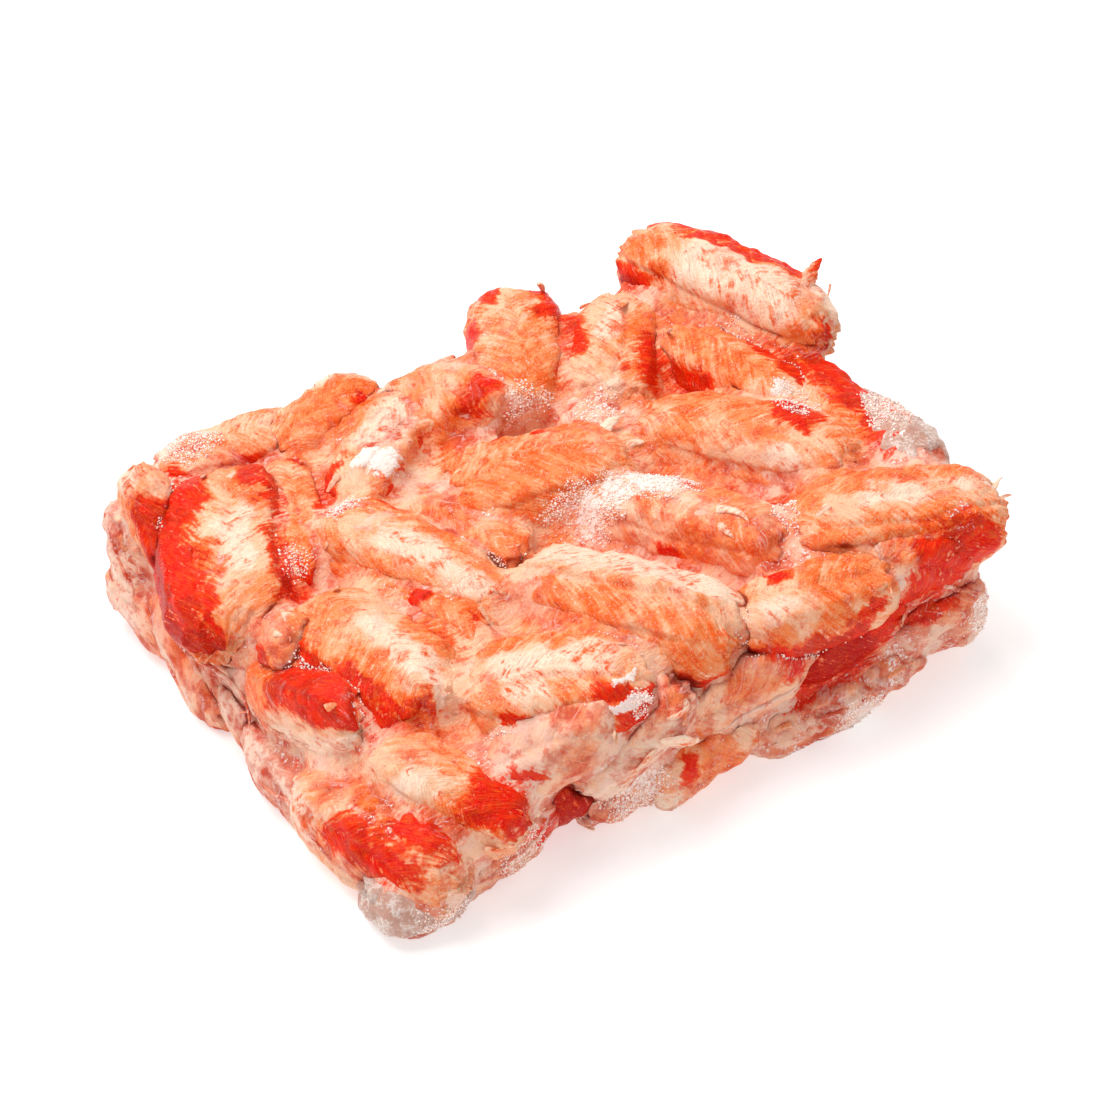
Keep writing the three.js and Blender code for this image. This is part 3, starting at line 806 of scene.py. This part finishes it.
names = sorted(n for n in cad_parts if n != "frozen_core")
meats = {name: shape_meat(name, index) for index, name in enumerate(names)}
MIXED = ("cream", "orange", "red", "deep", "glaze", "frost")
all_points = np.concatenate([m["points"] for m in meats.values()])
all_values = [np.concatenate([m["values"][key] for m in meats.values()]) for key in MIXED]
crowd = Haze(all_points, [], 2.0, 2)
nearby = Haze(all_points, all_values, 2.0, 3)
even = np.median(crowd.read(all_points)[0])


def crevice_of(points, faces):
    """0 on open surfaces, 1 deep between pieces: how much surface stands just in front of each point. The
    meat's painted shade between the pieces follows it.
    """
    return smoothstep(0.35, 1.0, crowd.read(points + 3.6 * normals_of(points, faces))[0] / even)


meat = meat_material()
clear_ice = ice_material()
for name, shape in meats.items():
    points, faces = shape["points"], shape["faces"]
    shape["values"]["crevice"] = crevice_of(points, faces)
    shape["values"]["glaze"] += 0.3 * patch(shape["values"]["crevice"], 0.12, 0.55, 0.1)
    shape["values"]["frost"] += 0.5 * drifted(points)
    material = clear_ice if name in SOLID_ICE else meat
    piece_name = name.replace("_meat_", "_flesh_")
    new_piece(piece_name, points, faces, material, name, shape["values"])

fill_points, fill_faces = frozen_fill([(m["points"], m["faces"]) for m in meats.values()])
share, *sums = nearby.read(fill_points)
fill_values = {key: column / np.maximum(share, 1e-6) for key, column in zip(MIXED, sums)}
fill_values["crevice"] = crevice_of(fill_points, fill_faces)
for name, along, degrees, radius in HOLES:
    away = np.linalg.norm(fill_points - spot(name, along, degrees)[0], axis=1)
    sunk = np.exp(-((away / radius) ** 2))
    fill_points -= normals_of(fill_points, fill_faces) * (3.0 * sunk * (fill_points[:, 2] > 3))[:, None]
    # The hole also gets painted shade, through its crevice value.
    fill_values["crevice"] = np.maximum(fill_values["crevice"], 1.6 * sunk)
fill_values["glaze"] = np.clip(fill_values["glaze"] + 0.28 + 0.35 * noise(fill_points, 9, 907), 0, 1)
fill_values["frost"] += 0.12 + 0.25 * noise(fill_points, 11, 905) + 0.4 * drifted(fill_points)
fill_values["fibre"] = fill_points * (1.0, 1.0, 0.4)
new_piece("ice_between", fill_points, fill_faces, meat, "frozen_core", fill_values)


# ---------------------------------------------------------------- frost and torn strands
def frost_grains():
    """Rime: small angular crystals heaped in the hollows that face up, and in a few thicker drifts."""
    random = np.random.default_rng(77)
    points = np.concatenate([all_points, fill_points])
    normals = [normals_of(m["points"], m["faces"]) for m in meats.values()]
    normals = np.concatenate(normals + [normals_of(fill_points, fill_faces)])
    hollow = [m["values"]["crevice"] for m in meats.values()]
    hollow = np.concatenate(hollow + [fill_values["crevice"]])
    chance = smoothstep(0.25, 0.6, hollow) * smoothstep(0.9, 0.6, hollow)
    chance *= smoothstep(0.2, 0.7, normals[:, 2]) * (points[:, 2] > 25)
    chance *= 0.1 * smoothstep(0.15, 0.6, layered_noise(points, 17, 911, 2))
    chance += 0.5 * drifted(points) ** 2 * (0.15 + hollow)
    chosen = random.choice(len(points), FROST_GRAINS, replace=False, p=chance / chance.sum())
    tips = np.array([(1, 0, 0), (-1, 0, 0), (0, 1, 0), (0, -1, 0), (0, 0, 1), (0, 0, -1)], float)
    sides = np.array([
        (0, 2, 4), (2, 1, 4), (1, 3, 4), (3, 0, 4), (2, 0, 5), (1, 2, 5), (3, 1, 5), (0, 3, 5)])
    size = random.lognormal(math.log(GRAIN_RADIUS), 0.3, (FROST_GRAINS, 1, 1)).clip(0.12, 0.5)
    turned = np.linalg.qr(random.normal(0, 1, (FROST_GRAINS, 3, 3)))[0]
    turned *= np.sign(np.linalg.det(turned))[:, None, None]
    corners = (tips * random.uniform(0.7, 1.3, (FROST_GRAINS, len(tips), 1)) * size) @ turned
    middle = points[chosen] + normals[chosen] * (0.3 * size[:, 0])
    middle += random.normal(0, 0.15, (FROST_GRAINS, 3))
    grains = (corners + middle[:, None]).reshape(-1, 3)
    grains[:, 2] = np.maximum(grains[:, 2], 0.05)
    starts = len(tips) * np.arange(FROST_GRAINS)[:, None, None]
    return grains, (sides + starts).reshape(-1, 3)


def strand(path, width, thickness, flat_way, taper, seed):
    """A strip along a path of points, wide across it and thin the flat way."""
    rings, sides = len(path), 10
    random = np.random.default_rng(seed)
    forward = np.gradient(path, axis=0)
    forward /= np.linalg.norm(forward, axis=1, keepdims=True)
    flat = flat_way - (forward @ flat_way)[:, None] * forward
    flat /= np.linalg.norm(flat, axis=1, keepdims=True)
    beside = np.cross(flat, forward)
    turn = np.linspace(0, 2 * math.pi, sides, endpoint=False)[None, :, None]
    ring = np.cos(turn) * beside[:, None] * width / 2 + np.sin(turn) * flat[:, None] * thickness / 2
    points = path[:, None] + (taper * (1 + random.normal(0, 0.1, rings)))[:, None, None] * ring
    points = np.concatenate([points.reshape(-1, 3), path[:1], path[-1:]])
    faces = []
    for i in range(rings - 1):
        for k in range(sides):
            a, b = i * sides + k, i * sides + (k + 1) % sides
            faces += [(a, b, b + sides), (a, b + sides, a + sides)]
    last = rings * sides
    for k in range(sides):
        after = (k + 1) % sides
        faces += [(after, k, last), (last - sides + k, last - sides + after, last + 1)]
    return points, np.array(faces)


def torn_strands():
    """Loose strips at the torn ends of the pieces, larger ones that stand out, and folds in the
    glaze."""
    random = np.random.default_rng(123)
    t = np.linspace(0, 1, 14)[:, None]
    shapes, tones = [], []

    def put(path, width, thickness, flat_way, taper, **tone):
        shapes.append(strand(path, width, thickness, flat_way, taper, len(shapes)))
        count = len(shapes[-1][0])
        row = {"cream": 0.0, "red": 0.0, "glaze": 0.1, "frost": 0.2} | tone
        row["red"] *= np.linspace(0, 1, count) ** 2  # towards the tip
        tones.append(np.stack([np.broadcast_to(value, count) for value in row.values()]))

    pointed = 1 - 0.9 * t[:, 0] ** 1.5
    for name in names:
        if name in SOLID_ICE or not name.startswith(("top", "front", "left")):
            continue
        for _ in range(3):
            along = random.choice((-1, 1)) * random.uniform(0.7, 0.95)
            place, out = spot(name, along, random.uniform(-80, 80))
            away = place - meats[name]["points"].mean(0)
            away -= (away @ out) * out
            away = away / max(np.linalg.norm(away), 1e-6) + random.normal(0, 0.35, 3)
            reach = away * random.uniform(3, 6)
            path = place - 0.45 * out - 0.7 * reach + reach * t + 0.3 * out * 4 * t * (1 - t)
            width, thickness = random.uniform(1.4, 2.8), random.uniform(0.6, 1.0)
            put(path, width, thickness, out, pointed, cream=random.uniform(0.2, 0.9))
    for name, along, degrees, reach, width, thickness, bend, paleness, redness in STRIPS:
        root, out = spot(name, along, degrees)
        path = root - 0.8 * out * (1 - t) + np.array(reach) * t + np.array(bend) * 4 * t * (1 - t)
        put(path, width, thickness, out, pointed, cream=paleness, red=redness)
    steps = 40
    t = np.linspace(0, 1, steps)[:, None]
    for *one_end, second, along, degrees in FOLDS:
        (start, out), (end, _) = spot(*one_end), spot(second, along, degrees)
        wandering = np.cumsum(random.normal(0, 0.25, (steps, 3)), axis=0)
        path = start + (end - start) * t + wandering * t * (1 - t) * 4
        near = [np.argmin(((all_points - p) ** 2).sum(1)) for p in path]
        path = all_points[near]
        for _ in range(6):
            path[1:-1] = (path[:-2] + 2 * path[1:-1] + path[2:]) / 4
        taper = np.sin(math.pi * t[:, 0]) ** 0.5 + 0.05
        put(path, 1.3, 1.1, out, taper, glaze=0.9, frost=0.35)
    points, faces = joined(shapes)
    points[:, 2] = np.maximum(points[:, 2], 0.1)
    values = dict(zip(("cream", "red", "glaze", "frost"), np.concatenate(tones, axis=1)))
    values["orange"] = 0.3 + 0.3 * noise(points, 5, 33)
    values["fibre"] = points * (0.6, 1.0, 0.8)
    return points, faces, values


points, faces = frost_grains()
new_piece("rime_grains", points, faces, rime_material(), None)
points, faces, values = torn_strands()
new_piece("torn_strands", points, faces, meat, None, values)


# ---------------------------------------------------------------- floor, light and camera
def add_floor():
    side = FLOOR_REACH
    corners = np.array([(-side, -side, 0), (side, -side, 0), (side, side, 0), (-side, side, 0)])
    mesh = mesh_from("floor", corners, np.array([[0, 1, 2, 3]]))
    mesh.materials.append(floor_material())
    floor = bpy.data.objects.new("floor", mesh)
    bpy.context.scene.collection.objects.link(floor)


def add_area_light(name, place, size, power):
    """A square soft box that faces the block."""
    data = bpy.data.lights.new(name, "AREA")
    data.size, data.energy = size, power
    light = bpy.data.objects.new(name, data)
    light.location = place
    light.rotation_euler = (Vector(LIT_POINT) - light.location).to_track_quat("-Z", "Y").to_euler()
    bpy.context.scene.collection.objects.link(light)


def add_world():
    world = bpy.data.worlds.new("studio")
    world.use_nodes = True
    background = world.node_tree.nodes["Background"]
    background.inputs["Color"].default_value = (1.0, 1.0, 1.0, 1)
    background.inputs["Strength"].default_value = WORLD_STRENGTH
    bpy.context.scene.world = world


def add_camera():
    turn, tilt = math.radians(CAMERA_AZIMUTH), math.radians(CAMERA_ELEVATION)
    back = Vector((math.sin(turn) * math.cos(tilt), -math.cos(turn) * math.cos(tilt), math.sin(tilt)))
    right = Vector((math.cos(turn), math.sin(turn), 0))
    up = back.cross(right)
    aim = right * CAMERA_AIM[0] + up * CAMERA_AIM[1] + Vector((0, 0, CAMERA_AIM[2]))
    data = bpy.data.cameras.new("camera")
    data.lens, data.sensor_width = CAMERA_LENS, SENSOR
    camera = bpy.data.objects.new("camera", data)
    camera.location = (aim + back * CAMERA_DISTANCE) * MM
    camera.rotation_euler = (-back).to_track_quat("-Z", "Y").to_euler()
    bpy.context.scene.collection.objects.link(camera)
    bpy.context.scene.camera = camera


add_floor()
add_world()
for light_row in LIGHTS:
    add_area_light(*light_row)
add_camera()
bpy.context.scene.view_settings.view_transform = "Standard"
